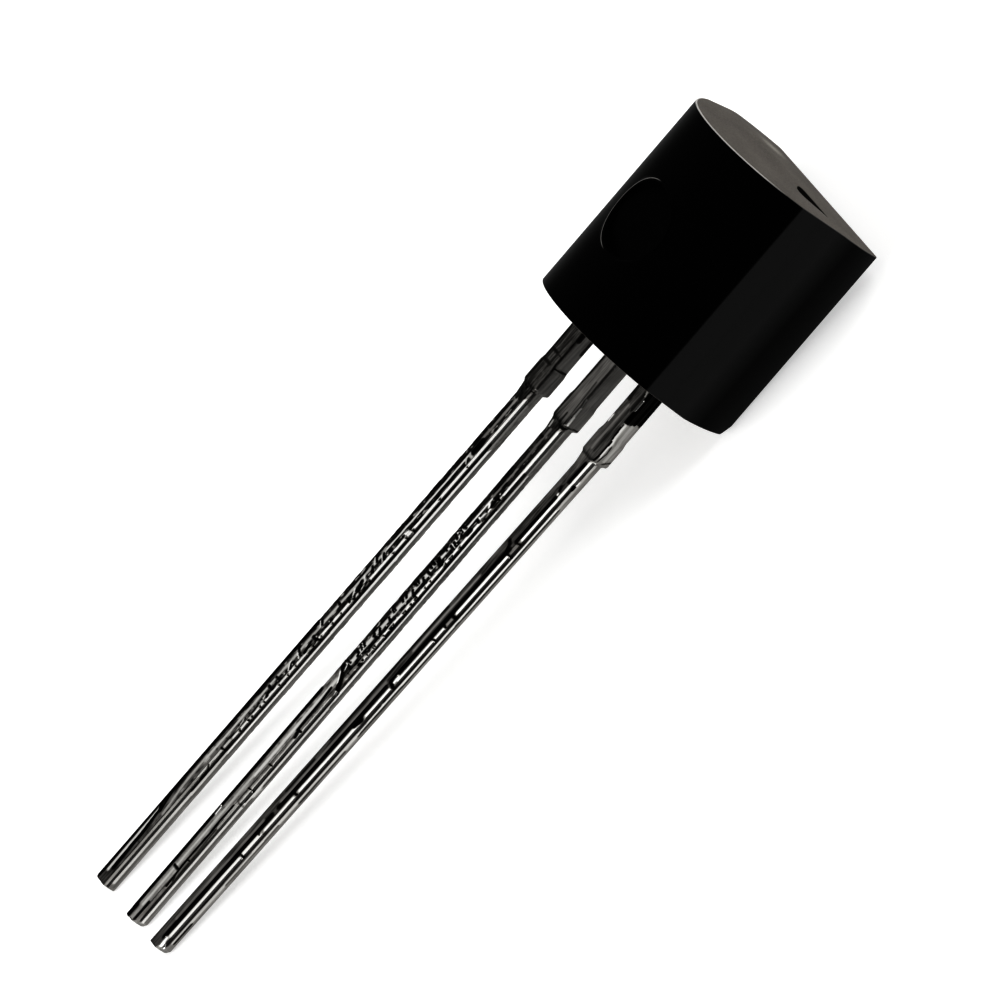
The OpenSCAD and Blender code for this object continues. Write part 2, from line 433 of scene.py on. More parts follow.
def rim_rings(bm, rub_and_highlight, loop, level, side, rub_highlight):
    """The rounded rim of the foot or the end face, in rings from the flat face outwards."""
    steps = [(RIM_R + SUPPORT, 0, 0)]
    for deg, part in RIM_STEPS:
        a = radians(deg)
        steps.append((RIM_R * (1 - cos(a)), side * RIM_R * (1 - sin(a)), rub_highlight * part))
    rings = []
    for inset, lift, rub_highlight_here in steps:
        rings.append([])
        for (x, y), (nx, ny) in zip(loop, outward(loop)):
            px, py = x - nx * inset, y - ny * inset
            vert = bm.verts.new((px, py, level(py) + lift))
            # on the round side the painted highlight fades towards the emitter side
            kept = progress(x, RUB_HIGHLIGHT_END, RUB_HIGHLIGHT_END - RUB_HIGHLIGHT_FADE) if y < 0 else 0
            vert[rub_and_highlight] = rub_highlight_here * max(RUB_HIGHLIGHT_LEAST, kept)
            rings[-1].append(vert)
    return rings


def round_side(bm, loop):
    """The side, in levels from rim to rim. Gives its first and its last level, and the
    border of the square that is left out for the pin mark."""
    ends = [((x, y, foot_z(y) + RIM_R), (x, y, soft_end_z(y) - RIM_R)) for x, y in loop]
    side = [[bm.verts.new(between(p, q, k / SIDE_LEVELS)) for p, q in ends]
            for k in range(SIDE_LEVELS + 1)]
    cols = [i for i, (x, y) in enumerate(loop) if y < 0 and abs(x) < PIN_PATCH]
    rows = [k for k, row in enumerate(side) if abs(row[cols[0]].co.z - PIN_Z) < PIN_PATCH]
    c0, c1, k0, k1 = cols[0], cols[-1], rows[0], rows[-1]
    for k in range(SIDE_LEVELS):
        for i in range(len(loop)):
            if not (k0 <= k < k1 and c0 <= i < c1):
                j = (i + 1) % len(loop)
                bm.faces.new((side[k][i], side[k][j], side[k + 1][j], side[k + 1][i]))
    for k in range(k0 + 1, k1):
        for i in range(c0 + 1, c1):
            bm.verts.remove(side[k][i])
    border = (side[k0][c0:c1] + [side[k][c1] for k in range(k0, k1)]
              + side[k1][c1:c0:-1] + [side[k][c0] for k in range(k1, k0, -1)])
    return side[0], side[-1], border


def pin_mark(bm, rub_and_highlight, border):
    """The ejector pin's mark: a round recess with a flat floor, and a raised ring."""
    angles = [atan2(v.co.z - PIN_Z, v.co.x) for v in border]
    outer = PIN_R + PIN_RING
    floor_y = PIN_DEPTH - ROUND_R

    def crown(x):
        """Where the round side lies."""
        return -sqrt(ROUND_R ** 2 - x * x)

    def ring(r, depth_at, rub_highlight=0):
        """Points round the mark. On the base side only, they carry the ring's rubbing, lightened as a
        painted highlight.
        """
        row = []
        for a in angles:
            x, z = r * cos(a), r * sin(a)
            row.append(bm.verts.new((x, depth_at(x), PIN_Z + z)))
            row[-1][rub_and_highlight] = rub_highlight * progress(cos(a), -0.1, -0.3)
        return row

    rings = [border]
    for t in (0.3, 0.6, 0.85, 1.0):    # from the square border to the round ring
        rings.append([])
        for v, a in zip(border, angles):
            goal = (outer * cos(a), PIN_Z + outer * sin(a))
            x, z = between((v.co.x, v.co.z), goal, t)
            rings[-1].append(bm.verts.new((x, crown(x), z)))
    for k in range(1, PIN_RING_STEPS):
        t = k / PIN_RING_STEPS
        lift = PIN_RING_H * sin(pi * t ** 0.8) ** 1.3    # steeper on the outside
        rings.append(ring(outer - PIN_RING * t, lambda x: crown(x) - lift,
                          PIN_RING_RUB_HIGHLIGHT if abs(t - 5 / 12) < 0.1 else 0))
    rings.append(ring(PIN_R, lambda x: crown(x) + PIN_LIP))
    for deg in (0, 30, 60, 90):
        s, c = sin(radians(deg)), cos(radians(deg))
        rings.append(ring(PIN_R - PIN_FLOOR_R * (1 - c), lambda x: floor_y - PIN_FLOOR_R * (1 - s)))
    for t in (0.97, 0.8, 0.6, 0.4, 0.2):
        rings.append(ring(PIN_R * t, lambda x: floor_y))
    join_rings(bm, rings)
    centre = bm.verts.new((0, floor_y, PIN_Z))
    for a, b in sides_of(rings[-1]):
        bm.faces.new((a, b, centre))


def gate_scar(bm, torn):
    """The gate scar: a V cut, its long side along the parting line. Gives its outer ring."""
    loop = scar_outline()
    rings = []
    for out, depth, broken in ((GATE_RIM, 0, 0), (GATE_RIM * 0.4, 0.003, 0.5), (0, GATE_RIM, 1),
                               (0, GATE_DEPTH * 0.5, 1), (0, GATE_DEPTH, 1)):
        rings.append([])
        for (x, y), (nx, ny) in zip(loop, outward(loop)):
            vert = bm.verts.new((x + nx * out, y + ny * out, soft_end_z(y) - depth))
            vert[torn] = broken
            rings[-1].append(vert)
    join_rings(bm, rings)
    cap(bm, rings[-1], lambda y: soft_end_z(y) - GATE_DEPTH)
    return rings[0]


def fold_lines(heights, middle, gap=None):
    """Fold lines at several y, as long as the one at the middle. A gap leaves two parts."""
    reach = sqrt(ROUND_R ** 2 - middle ** 2) - FOLD_END
    spans = [(-reach, gap[0]), (gap[1], reach)] if gap else [(-reach, reach)]
    return [[(a, y), (b, y)] for y in heights for a, b in spans]


def drafted_faces(bm, foot, end, scar):
    """The two faces across the part, folded at the parting line and at the foot's bevel."""
    gap = (GATE_START - GATE_CLEAR, GATE_START + GATE_W + GATE_CLEAR)
    blend = [PART_Y + PART_SOFT * step / 3 for step in range(-3, 4)]
    cap(bm, end, soft_end_z, [scar],
        fold_lines(blend[:4], PART_Y, gap) + fold_lines(blend[4:], PART_Y))
    bevel_y = FLAT_Y - BEVEL_IN
    bevel = [bevel_y - BEVEL_SOFT, bevel_y, bevel_y + BEVEL_SOFT]
    cap(bm, foot, foot_z, (), fold_lines([PART_Y], PART_Y) + fold_lines(bevel, bevel_y))


def moulding():
    """The whole moulding's mesh, with what its material needs to know at each point."""
    bm = bmesh.new()
    layer = bm.verts.layers.float.new
    rub_and_highlight = layer("rub_and_highlight")          # edges with rubbing, lightened as a painted highlight
    torn = layer("torn")          # the broken face of the gate scar
    matte = layer("matte")        # the two faces across the part
    wall_sheen = layer("wall_sheen")    # the walls: painted reflection of the floor, fading past the parting line as painted shade
    loop = body_outline()
    foot = rim_rings(bm, rub_and_highlight, loop, foot_z, 1, 0)
    end = rim_rings(bm, rub_and_highlight, loop, soft_end_z, -1, 1)
    lowest, highest, border = round_side(bm, loop)
    join_rings(bm, foot + [lowest])
    join_rings(bm, end + [highest])
    pin_mark(bm, rub_and_highlight, border)
    drafted_faces(bm, foot[0], end[0], gate_scar(bm, torn))

    bmesh.ops.recalc_face_normals(bm, faces=bm.faces)
    bm.normal_update()
    wall_y = ROUND_R * sin(radians(-WALL_END_DEG))
    for v in bm.verts:
        y = v.co.y
        across = not 0.5 < v.co.z < BODY_H - 0.5
        v[matte] = progress(abs(v.normal.z), 0.6, 0.95) if across else 0
        # painted reflection of the floor on the walls, from the wall's edge to the flat; past the parting
        # line it fades as painted shade
        past = progress(y, PART_Y - 0.1, PART_Y + 0.4)
        sheen_share = (1 - 0.85 * past) * progress(y, wall_y, wall_y + 0.02)
        v[wall_sheen] = sheen_share if y < FLAT_Y - 0.02 else 0
    for f in bm.faces:
        f.smooth = True
    mesh = bpy.data.meshes.new("moulded_body")
    bm.to_mesh(mesh)
    bm.free()
    return mesh


# ------------------------ the leads

def section(corners):
    """Points along a closed section, given by its corner points, evenly spaced."""
    sides = sides_of(corners)
    lengths = [dist(a, b) for a, b in sides]
    total = sum(lengths)
    out = []
    for i in range(AROUND):
        s = total * i / AROUND
        k = 0
        while s > lengths[k]:
            s -= lengths[k]
            k += 1
        out.append((*between(*sides[k], s / lengths[k]), 0))
    return out


def stamped_section():
    """The strip's section, in shares of its half sizes: rolled edges on the punch side."""
    e = LOWER_EDGE
    rolled = [(ROLLED_AT, 1), *ROLLED]
    return section([(0, -1), (1 - e, -1), (1, -1 + e), *reversed(rolled),
                    *((-x, y) for x, y in rolled), (-1, -1 + e), (-1 + e, -1)])


def coined_section(corner):
    """The shank's section, in shares of its half sizes. corner is its upper corner on
    the emitter side, in millimetres, from the top face down the side."""
    w, t, c = SHANK_W / 2, SHANK_T / 2, CORNER_FLAT
    mm = [(0, -t), (w - c, -t), (w, c - t), *reversed(corner), (c - w, t), (-w, t - c),
          (-w, c - t), (c - w, -t)]
    return [(x / w, y / t, 0) for x, y, _ in section(mm)]


def points_object(name, points, edges=(), values=None, domain="EDGE"):
    """A helper object of points and edges, with a value of each name on each of them."""
    mesh = bpy.data.meshes.new(name)
    mesh.from_pydata(points, edges, [])
    for key, numbers in (values or {}).items():
        mesh.attributes.new(key, "FLOAT", domain).data.foreach_set("value", numbers)
    return placed(name, mesh)


# A section down a lead: how far the lead has leaned there, its height, its half widths to
# the base and to the emitter side, its half thickness, its shares of coining and of the full
# section, and its wear, which also holds painted shade
Station = namedtuple("Station", "shift z left right thick coined full torn dark cracked")


def stations(length, lean, snipped, head, wear):
    """The sections down a lead. wear is a list of depth, how dull the sheared sides are,
    partly as painted shade, how dark the upper face is, as painted shade, and how cracked the
    plating is."""
    head_w, head_z, head_h = head
    half, thick = STRIP_W / 2, STRIP_T / 2
    stub = half + STUB_OUT
    shank, flat = SHANK_W / 2, SHANK_T / 2
    left_end = SHOULDER_Z - TAPER_H * (stub - shank) / (stub - shank + CORNER_FLAT)
    cut = SNIP if snipped else TIP_EDGE
    tip = (-length, shank - TIP_EDGE, shank - cut, flat - TIP_EDGE, 1)
    top = head_z + head_h
    # height, half width to each side, half thickness, share of coining, share of the section
    marks = [
        (top, head_w / 2, head_w / 2, thick, 0, 0),
        *((z, wide, wide, thick, 0, 1) for z, wide in (
            (top, head_w / 2), (head_z, head_w / 2), (head_z, half), (0, half),
            (-STUB_START, half), (-STUB_START - STUB_RISE, stub), (SHOULDER_Z + 0.045, stub))),
        # the shoulder, rounded off where the coining starts
        (SHOULDER_Z + 0.012, stub, stub - 0.012, thick - 0.004, 0.1, 1),
        (SHOULDER_Z - 0.012, stub - 0.003, stub - 0.04, flat + 0.01, 0.6, 1),
        (SHOULDER_Z - 0.04, stub - 0.006, shank + 0.003, flat + 0.001, 1, 1),
        (left_end, shank, shank, flat, 1, 1),
        (SNIP - length, shank, shank, flat, 1, 1),
        (TIP_EDGE - length, shank, shank - (cut - TIP_EDGE), flat, 1, 1),
        (*tip, 1), (*tip, 0.5), (*tip, 0)]
    rows = [marks[0]]
    for a, b in zip(marks, marks[1:]):
        count = max(1, round((a[0] - b[0]) / (STEP_LONG if b[0] < 0 else STEP_HIDDEN)))
        rows += [between(a, b, i, count) for i in range(1, count + 1)]
    fall = length + SHOULDER_Z
    return [Station(-lean * max(0, SHOULDER_Z - row[0]) / fall, *row, *worn_at(wear, row[0]))
            for row in rows]


def worn_at(wear, z):
    """The values of a list of (depth down the lead, ...) at a height, blended."""
    if -z <= wear[0][0]:
        return wear[0][1:]
    for a, b in zip(wear, wear[1:]):
        if -z <= b[0]:
            return between(a[1:], b[1:], (-z - a[0]) / (b[0] - a[0]))
    return wear[-1][1:]


def surface_spot(rows, corner, across, down):
    """A spot on a lead. across runs 0 to 1 over the upper face from the base side, 1 to 2
    over the corner, and 2 to 3 down the emitter side. down is measured from the body."""
    row = min(rows, key=lambda r: (abs(r.z + down), -r.full))
    if row.coined > 0.5:
        outline = [(CORNER_FLAT - row.left, row.thick), *corner,
                   (row.right, CORNER_FLAT - row.thick)]
    else:
        shares = [(-ROLLED_AT, 1), (ROLLED_AT, 1), *ROLLED, (1, -1)]
        outline = [(x * row.right, y * row.thick) for x, y in shares]
    # the corner takes two of the outline's four stretches
    part = across if across <= 1 else 2 * across - 1 if across <= 2 else across + 1
    k = min(3, int(part))
    x, y = between(outline[k], outline[k + 1], part - k)
    return (row.shift + x, y, -down)


def long_lines(rng, lines):
    """Lines drawn along a lead, as marks, whose tones are painted glints and painted shade: each
    wanders a little on its way down.
    """
    marks = []
    for wide, tone, across, first, last in lines:
        count = max(1, round((last - first) / LINE_STEP))
        spots = []
        for k in range(count + 1):
            stray = rng.uniform(-LINE_WANDER, LINE_WANDER)
            spots += [across + stray, first + (last - first) * k / count]
        marks.append((wide, tone, *spots))
    return marks


def crazing(rng, first, last, count):
    """Short cracks across the plating of a lead, each on one of three columns of plates, and
    some of them with a lifted lip of plating below, as marks."""
    marks = []
    for k in range(count):
        down = first + (last - first) * (k + rng.random()) / count
        start, end = rng.choice(CRACK_COLUMNS)
        slant = rng.uniform(-0.03, 0.08)
        marks.append((CRACK_WIDE, -1, start, down, end, down + slant))
        if rng.random() < LIPPED:
            lip = down + CRACK_WIDE * 1.5
            marks.append((CRACK_WIDE, LIP_TONE, start, lip, end, lip + slant))
    return marks


def marks_object(name, rows, corner, marks):
    """Edges that press marks into a lead. Each mark is its width, its tone, and across and
    down of each spot that it runs through."""
    points, edges = [], []
    values = {"wide": [], "tone": []}
    for wide, tone, *spots in marks:
        start = len(points)
        points += [surface_spot(rows, corner, *spot) for spot in zip(spots[::2], spots[1::2])]
        for i in range(start, len(points) - 1):
            edges.append((i, i + 1))
            values["wide"].append(wide)
            values["tone"].append(tone)
    return points_object(name, points, edges, values)


def lead_inputs(tree):
    """The inputs of the rule for a lead, by name."""
    kinds = {"Stations": "Geometry", "Stamped Section": "Object", "Coined Section": "Object",
             "Drawn Lines And Glints": "Object", "Nicks": "Object", "Seed": "Float",
             "Material": "Material"}
    kinds.update(dict.fromkeys(LEAD_SETTINGS, "Float"))
    for name, kind in kinds.items():
        socket = tree.interface.new_socket(name, in_out="INPUT", socket_type="NodeSocket" + kind)
        if name in LEAD_SETTINGS:
            socket.default_value = LEAD_SETTINGS[name]
    return {s.name: Value(tree, s) for s in node(tree, "NodeGroupInput").outputs}


def named(tree, name, kind="FLOAT"):
    """The value of that name at each point of a geometry."""
    if name == "position":
        return add(tree, "GeometryNodeInputPosition")
    return add(tree, "GeometryNodeInputNamedAttribute", {"Name": name}, data_type=kind)


def picked(geometry, name, where, domain="POINT", kind="FLOAT"):
    """The value of that name at one point or edge of another geometry."""
    tree = geometry.tree
    return add(tree, "GeometryNodeSampleIndex",
               {"Geometry": geometry, "Value": named(tree, name, kind), "Index": where},
               data_type=kind, domain=domain)


def stored(geometry, **values):
    """The geometry, with a value of each name at its points."""
    for name, value in values.items():
        geometry = add(geometry.tree, "GeometryNodeStoreNamedAttribute",
                       {"Geometry": geometry, "Name": name, "Value": value})
    return geometry


def swept_strip(tree, given):
    """The section, swept down the stations, with how dull, dark and cracked it is. The dark,
    and part of the dull, is painted shade.
    """
    count = add(tree, "GeometryNodeAttributeDomainSize", {"Geometry": given["Stations"]},
                "Point Count")
    sheet = add(tree, "GeometryNodeMeshGrid",
                {"Vertices X": AROUND + 1, "Vertices Y": count})
    index = add(tree, "GeometryNodeInputIndex")
    station = calc("FLOORED_MODULO", index, count)
    place = calc("FLOORED_MODULO", calc("FLOOR", index / count), AROUND)

    def section_at(name):
        outline = add(tree, "GeometryNodeObjectInfo", {"Object": given[name]}, "Geometry")
        return picked(outline, "position", place, kind="FLOAT_VECTOR")

    def at_station(name, kind="FLOAT"):
        return picked(given["Stations"], name, station, kind=kind)

    # ShaderNodeMix keeps its vector sockets at 4 and 5, and its float sockets at 2 and 3
    blend = add(tree, "ShaderNodeMix",
                {0: at_station("coined"), 4: section_at("Stamped Section"),
                 5: section_at("Coined Section")}, 1, data_type="VECTOR")
    across, up = (add(tree, "ShaderNodeSeparateXYZ", {0: blend}, axis) for axis in "XY")
    half = add(tree, "ShaderNodeMix",
               {0: calc("GREATER_THAN", across), 2: at_station("left"),
                3: at_station("right")})
    full = at_station("full")
    offset = add(tree, "ShaderNodeCombineXYZ",
                 {"X": across * half * full, "Y": up * at_station("thick") * full})
    target = vector("ADD", at_station("position", "FLOAT_VECTOR"), offset)
    swept = add(tree, "GeometryNodeSetPosition", {"Geometry": sheet, "Position": target})

    # the sheared sides are dull, and darker still as painted shade, and less cracked, and the
    # upper face is dark as painted shade
    on_side = ranged(calc("ABSOLUTE", across), 0.93, 0.99)
    on_top = ranged(up, 0.8, 0.97)
    swept = stored(swept, torn=at_station("torn") * on_side, dark=at_station("dark") * on_top,
                   cracked=at_station("cracked") * (1.0 - on_side * 0.75))
    return add(tree, "GeometryNodeMergeByDistance", {"Geometry": swept, "Distance": 1e-5})


def marked_surface(given, strip):
    """The strip with the wear of its plating, its drawn lines with their painted glints and
    shade, and its nicks in its surface.
    """
    tree = strip.tree
    here = vector("ADD", named(tree, "position"), given["Seed"])

    # fine scratches left along the lead, a slight wave of its faces, and the cracked plating
    scratched = stretched(here, 1, 1, 0.02, given["Scratches Across"], 1.0)
    waved = stretched(here, 0.6, 0.6, 0.35, 2.2)
    flaked = stretched(here, 1, 1, 0.3, 15.0, 3.0)
    broken = stretched(here, 0.25, 0.25, 1, 9.0)
    cracked = named(tree, "cracked")
    crack = calc("MAXIMUM", ranged(flaked, 0.5, 0.62), ranged(broken, 0.6, 0.68)) * cracked
    lift = ((scratched - 0.5) * given["Scratch Depth"] + (waved - 0.5) * given["Wave Depth"]
            - crack * given["Crack Depth"])
    chipped = ranged(stretched(here, 0.7, 0.7, 0.4, 21.0), 0.54, 0.66, 0.0, 0.55)
    tone = chipped * cracked - crack * 0.7

    # the surface sinks, or stands up, near each edge of the drawn lines and nicks
    ragged = (stretched(here, 1, 1, 0.4, 14.0) - 0.5) * given["Ragged Edge"]
    for name in ("Drawn Lines And Glints", "Nicks"):
        cuts = add(tree, "GeometryNodeObjectInfo", {"Object": given[name]}, "Geometry")
        nearest = add(tree, "GeometryNodeSampleNearest", {"Geometry": cuts}, domain="EDGE")
        far = add(tree, "GeometryNodeProximity", {0: cuts}, 1, target_element="EDGES")
        away = (far + ragged) / picked(cuts, "wide", nearest, "EDGE")
        share = ranged(away, 0.2, 0.7, 1.0, 0.0)
        kept = 1.0 - share
        drawn = picked(cuts, "tone", nearest, "EDGE")
        # a bright mark, burnished tin and painted glint alike, stands up, and a black one, crack
        # and painted shade alike, is cut in, more so the blacker it is
        black = calc("MINIMUM", drawn)
        ridge = calc("MAXIMUM", drawn) * given["Ridge Height"]
        height = ridge - black * black * given["Cut Depth"]
        lift = lift * kept + share * height
        tone = tone * kept + share * drawn
    push = vector("SCALE", add(tree, "GeometryNodeInputNormal"), lift)
    return add(tree, "GeometryNodeSetPosition",
               {"Geometry": stored(strip, tone=tone), "Offset": push})


def lead_tree():
    """The rule for a lead: a stamped section swept down its stations, coined to the
    shank's section below the shoulder, drawn with lengthwise lines that carry painted glints
    and painted shade, cracked, and nicked."""
    tree = bpy.data.node_groups.new("Stamped lead", "GeometryNodeTree")
    given = lead_inputs(tree)
    tree.interface.new_socket("Lead", in_out="OUTPUT", socket_type="NodeSocketGeometry")
    lead = marked_surface(given, swept_strip(tree, given))
    smooth = add(tree, "GeometryNodeSetShadeSmooth", {"Geometry": lead})
    real = add(tree, "GeometryNodeRealizeInstances", {"Geometry": smooth})
    done = add(tree, "GeometryNodeSetMaterial", {"Geometry": real, "Material": given["Material"]})
    node(tree, "NodeGroupOutput", {0: done})
    return tree


# The marks on the leads. A line drawn along a lead is its width, its tone, its place across,
# and its first and last depth. A nick is its width, its tone, and across and depth of each
# spot that it runs through. A tone of 1 is bright and stands up, and -1 is black and cut
# in. On the lines, bright is a painted glint of the lead's facets and black is painted shade;
# on the nicks, bright is mostly burnished tin, with some painted glints, and black mostly
# cracks. The places are those of surface_spot.
# the tones of these lines: bright ones are painted glints, dark ones painted shade
BASE_LINES = [
    (0.09, 0.4, 0.47, 2.1, 3.2), (0.07, 0.8, 0.5, 3.2, 5.9), (0.09, 0.6, 0.5, 5.9, 7.8),
    (0.09, 0.5, 0.52, 7.8, 11.2), (0.1, -1, 0.06, 7.8, 14.2), (0.11, 1, 1.3, 2.05, 3.2),
    (0.105, 1.3, 1.35, 3.2, 5.25), (0.11, 1.1, 1.4, 5.5, 6.5), (0.105, 1.1, 1.4, 7.1, 8),
    (0.09, 0.9, 1.45, 8.4, 10.5), (0.08, 0.55, 1.25, 10.6, 11.5), (0.05, -0.5, 1.75, 3.1, 7.8),
    (0.04, -0.44, 1.85, 7.8, 11.8), (0.06, 0.25, 2.17, 2.1, 3.2), (0.11, 1, 2.28, 3.2, 5.9),
    (0.135, 0.9, 2.31, 5.9, 10.8), (0.135, 0.55, 2.21, 10.8, 14.1), (0.075, -0.12, 2.6, 3.2, 11.9),
    (0.05, -0.17, 2.6, 11.9, 14.2), (0.12, 0.2, 1.45, 11.1, 14.2)]

BASE_NICKS = [
    (0.11, -0.7, 2.05, 0.3, 2.05, 0.5), (0.05, -0.25, 0.65, 0.65, 0.65, 1.25),
    (0.055, -0.6, 0.05, 0.95, 0.65, 0.95), (0.03, -0.3, 0.65, 0.95, 1.2, 0.97),
    (0.055, -0.6, 0.05, 1.2, 0.7, 1.2), (0.035, -0.65, 1.9, 1.2, 2.9, 1.18),
    (0.05, -0.2, 0.35, 1.3, 0.35, 2.1), (0.05, -0.8, 0.3, 1.8, 0.55, 1.82),
    (0.03, -0.6, 1.05, 1.82, 1.5, 1.8), (0.1, -0.5, 0.3, 1.9, 0.6, 2.05),
    (0.08, -0.5, 2.85, 0.2, 2.85, 0.7), (0.06, -0.6, 0.06, 0.4, 0.06, 1.7),
    # the start of the crazed plating
    (0.12, -1, 0.62, 3.15, 0.62, 3.4), (0.08, 0.6, 0.55, 3.5, 0.85, 3.5),
    (0.05, 0.7, 0.55, 3.6, 0.85, 3.67), (0.035, -1, 0.85, 3.7, 1.4, 3.7), (0.035, -1, 0.85, 4.5, 1.4, 4.5),
    # a bright blob between two cracks
    (0.045, -1, 0.85, 5.27, 1.6, 5.27), (0.04, -1, 0.85, 5.49, 1.6, 5.47),
    (0.15, 1.6, 0.98, 5.35, 0.98, 5.41), (0.1, 1.5, 1.3, 5.35, 1.3, 5.41),
    # strokes that run down over the corner
    (0.05, 0.8, 0.5, 6.55, 0.9, 6.6, 1.3, 6.75), (0.05, -1, 0.65, 6.65, 1.1, 6.82),
    (0.05, 0.8, 0.65, 6.85, 1.1, 7), (0.04, -1, 0.75, 7.05, 1.2, 7.1),
    (0.06, -1, 0.65, 8.05, 1.05, 8.05, 1.5, 8), (0.04, -1, 0.8, 8.15, 1.05, 8.4),
    (0.05, 0.8, 0.55, 8.7, 0.95, 8.85), (0.04, -0.9, 0.7, 8.7, 1, 8.8), (0.05, -1, 0.85, 9.4, 1.05, 9.5),
    (0.05, 0.7, 0.85, 9.5, 1.1, 9.7), (0.04, 0.5, 0.8, 10.1, 1, 10.4), (0.05, -1, 1.05, 10.8, 1.5, 10.8),
    (0.03, -0.8, 1.2, 11.2, 1.65, 11.3, 1.7, 11.55),
    # the flare at the tip
    (0.08, 0.35, 0.45, 11.2, 0.5, 11.8, 0.85, 12.5), (0.05, -0.9, 0.15, 12.1, 0.5, 12.5),
    (0.09, -1, 0.25, 12.4, 0.55, 13, 0.65, 13.9), (0.1, 0.65, 0.25, 12.5, 0.3, 13.2, 0.35, 14)]

# the tones of these lines: bright ones are painted glints, dark ones painted shade
COLLECTOR_LINES = [
    (0.09, 0.2, 0.49, 2, 2.95), (0.07, 0.4, 0.52, 2.95, 3.65), (0.07, 0.9, 0.57, 3.7, 4.5),
    (0.09, 0.8, 0.57, 4.65, 5.5), (0.13, 0.7, 0.57, 5.6, 7.8), (0.1, 0.5, 0.61, 8.2, 10.6),
    (0.09, 0.3, 0.57, 10.6, 13.85), (0.1, -1, 0.08, 8.55, 14), (0.11, 1, 1.37, 1.95, 3.5),
    (0.085, 1.1, 1.35, 4.2, 5.2), (0.09, 1.2, 1.4, 5.3, 6), (0.09, 1, 1.4, 6.1, 6.95),
    (0.09, 1, 1.55, 7, 7.6), (0.065, 0.7, 1.5, 8.55, 9.35), (0.08, 0.6, 1.55, 9.4, 11.8),
    (0.04, -0.33, 1.55, 2.95, 3.8), (0.05, -0.55, 1.75, 3.8, 7.4), (0.04, -0.33, 1.95, 8.4, 11.1),
    (0.1, 0.3, 1.85, 1.9, 2.9), (0.06, 0.7, 2.26, 2.95, 3.8), (0.11, 1, 2.34, 3.8, 8.55),
    (0.135, 0.7, 2.27, 8.55, 14.1), (0.06, -0.14, 2.5, 2.95, 8.7), (0.04, -0.24, 2.65, 8.75, 10.65),
    (0.06, -0.12, 2.6, 11, 14.1)]

COLLECTOR_NICKS = [
    (0.06, -0.6, 0.04, 0.3, 0.04, 1.8), (0.05, -0.25, 0.85, 0.75, 0.95, 1.7),
    (0.05, 0.5, 0.2, 1.85, 0.2, 1.97), (0.06, -0.4, 0.65, 1.55, 0.75, 1.9),
    # a painted highlight on the corner flat, widening down to the shoulder where it ends
    (0.04, 0.6, 1.7, 1.1, 1.75, 1.3), (0.055, 1.2, 1.8, 1.3, 1.9, 1.5), (0.08, 1.4, 1.9, 1.5, 2, 1.7),
    (0.07, -0.9, 0.9, 1.8, 1.4, 1.82, 1.95, 1.76), (0.04, -0.6, 2, 1.75, 2.9, 1.7),
    (0.06, -0.7, 0.05, 2.2, 0.3, 2.2), (0.07, -0.8, 0.1, 3, 0.12, 3.2), (0.06, -0.8, 0.7, 3.3, 0.7, 3.4),
    (0.04, 1, 0.85, 3.52, 1.3, 3.58), (0.05, -1, 0.75, 3.65, 1, 3.63, 1.3, 3.6),
    # the hooked scratch
    (0.07, 1.4, 0.75, 3.8, 1.25, 3.9), (0.09, 1.2, 1, 4, 0.97, 4.1), (0.05, 1, 0.8, 4.12, 1.1, 4.13),
    (0.05, -1, 0.8, 4.18, 1.15, 4.18), (0.08, -1, 0.95, 4.4, 0.97, 4.5),
    (0.04, 0.9, 0.35, 4.57, 0.65, 4.55), (0.05, -1, 0.33, 4.61, 0.7, 4.6), (0.07, -1, 0.45, 5.22, 1, 5.24),
    (0.04, -1, 1, 6.03, 1.4, 6.03), (0.05, -1, 0.6, 7.6, 1.4, 7.6),
    # the slanting score that ends the crazed plating
    (0.13, -1, 0.15, 7.85, 0.35, 8), (0.12, -1, 0.45, 7.98, 0.85, 8.15, 1.35, 8.35),
    (0.055, 1.2, 0.45, 7.9, 0.58, 8), (0.045, 1.2, 0.3, 8.05, 0.8, 8.2, 1.6, 8.45),
    (0.06, -1, 0.72, 8.4, 0.85, 8.75, 0.9, 9.4), (0.05, -1, 1, 9.4, 1.4, 9.4),
    (0.06, -0.9, 1.1, 9.45, 1.25, 9.55), (0.04, -1, 1, 10.25, 1.4, 10.25),
    (0.04, -1, 1.05, 10.85, 2, 10.85), (0.03, -0.7, 1.2, 11.2, 2.4, 11.2),
    (0.07, 0.9, 0.15, 11.5, 0.17, 11.65), (0.04, -1, 1, 12.65, 1.4, 12.65), (0.05, -1, 0.4, 12.9, 1, 12.9),
    (0.04, -0.7, 1.2, 13.05, 1.4, 13.15), (0.12, -1, 0.15, 13.95, 0.15, 14.2),
    (0.06, -0.9, 0.9, 13.75, 0.9, 14.2),
    # the crack that wanders down the corner to the tip
    (0.04, -0.9, 1, 11.3, 0.95, 11.7, 1.05, 12, 1, 12.6, 1.1, 13, 1.2, 13.3),
    (0.04, -0.35, 1.1, 11.5, 1.3, 12, 1.45, 12.55, 1.6, 14.1), (0.1, 0.35, 1.2, 11.2, 1.25, 11.85)]

